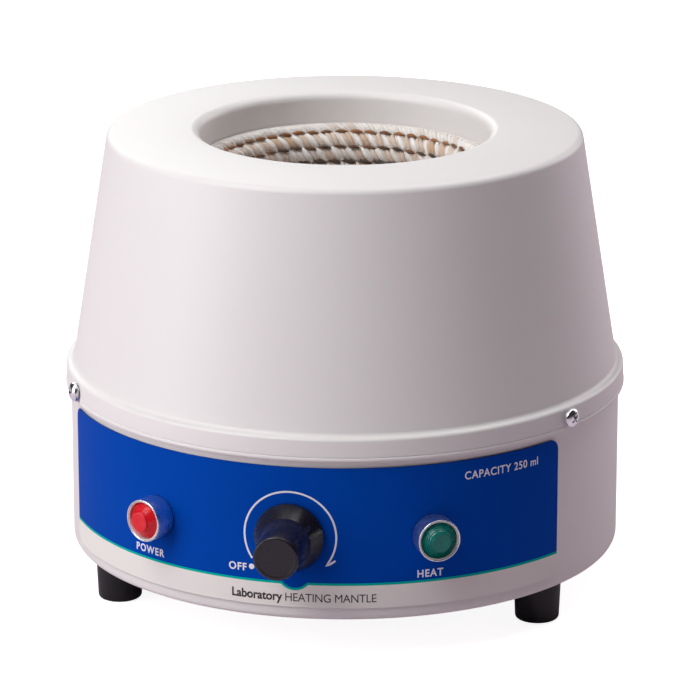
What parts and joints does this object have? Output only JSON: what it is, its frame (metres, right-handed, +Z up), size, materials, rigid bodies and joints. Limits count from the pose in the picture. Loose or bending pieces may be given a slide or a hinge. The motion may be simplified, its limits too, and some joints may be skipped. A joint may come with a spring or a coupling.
{
  "type": "heating mantle",
  "caption": "Round electric laboratory heating mantle: conical cover on a drum-shaped control housing with feet, knitted bowl for a round bottom flask, front knob and indicator lamps.",
  "frame": {"origin": "on the floor under the mantle's axis, in the middle of the feet's circle", "axes": "+Z up along the axis of the bowl and cover; -Y to the front, out of the control knob; +X to the right seen from the front"},
  "size_m": [0.2002, 0.2446, 0.1644],
  "materials": {
    "off_white_paint": "satin",
    "blue_printed_film": "semi-gloss printed film",
    "black_moulded_plastic": "satin moulded",
    "black_rubber": "matte",
    "bright_zinc": "bright zinc plating",
    "plated_steel": "zinc-plated sheet and bar",
    "chrome": "polished",
    "red_lens": "clear moulded, polished",
    "green_lens": "clear moulded, polished",
    "glass_fibre_yarn": "knitted yarn",
    "glass_wool": "felted",
    "resistance_wire": "oxidised",
    "board_laminate": "lacquered",
    "ceramic": "unglazed",
    "lead_sleeve": "braided",
    "fuse_glass": "clear"
  },
  "bodies": {
    "mantle": {"upper_cover": "off_white_paint", "lower_housing": "off_white_paint", "bottom_plate": "plated_steel", "heat_shield": "plated_steel", "inner_can": "plated_steel", "board_bracket": "plated_steel", "nest_ring": "plated_steel", "potentiometer_nut": "plated_steel", "power_lamp_nut": "plated_steel", "heat_lamp_nut": "plated_steel", "front_label": "blue_printed_film", "foot_left": "black_rubber", "foot_right": "black_rubber", "foot_rear": "black_rubber", "gland_seal": "black_rubber", "foot_screw_left": "bright_zinc", "foot_screw_right": "bright_zinc", "foot_screw_rear": "bright_zinc", "foot_nut_left": "bright_zinc", "foot_nut_right": "bright_zinc", "foot_nut_rear": "bright_zinc", "band_screw_left": "bright_zinc", "band_screw_right": "bright_zinc", "band_screw_rear": "bright_zinc", "pillar_screw_left": "bright_zinc", "pillar_screw_right": "bright_zinc", "pillar_screw_rear": "bright_zinc", "pillar_left": "plated_steel", "pillar_right": "plated_steel", "pillar_rear": "plated_steel", "potentiometer": "black_moulded_plastic", "power_lamp_holder": "black_moulded_plastic", "heat_lamp_holder": "black_moulded_plastic", "gland_body": "black_moulded_plastic", "gland_dome_nut": "black_moulded_plastic", "gland_lock_nut": "black_moulded_plastic", "fuse_holder": "black_moulded_plastic", "fuse_holder_nut": "black_moulded_plastic", "filter_capacitor": "black_moulded_plastic", "triac": "black_moulded_plastic", "power_lamp_collar": "chrome", "heat_lamp_collar": "chrome", "power_lamp_lens": "red_lens", "heat_lamp_lens": "green_lens", "heating_nest": "glass_fibre_yarn", "insulation_blanket": "glass_wool", "heating_wire": "resistance_wire", "control_board": "board_laminate", "terminal_block": "ceramic", "heater_lead_1": "lead_sleeve", "heater_lead_2": "lead_sleeve"},
    "knob": {"control_knob": "black_moulded_plastic", "knob_grub_screw": "plated_steel", "potentiometer_shaft": "plated_steel"},
    "fuse carrier": {"fuse_carrier": "black_moulded_plastic", "fuse_link": "fuse_glass"}
  },
  "joints": [
    {"name": "knob_turn", "type": "hinge", "parent": "mantle", "child": "knob", "pos_m": [0, -0.11, 0.0452], "axis": [0, 1, 0], "range_deg": [-182, 76]},
    {"name": "fuse_carrier_turn", "type": "hinge", "parent": "mantle", "child": "fuse carrier", "pos_m": [0.0525, 0.09093, 0.0452], "axis": [0.5, 0.866, 0], "range_deg": [0, 90]}
  ]
}
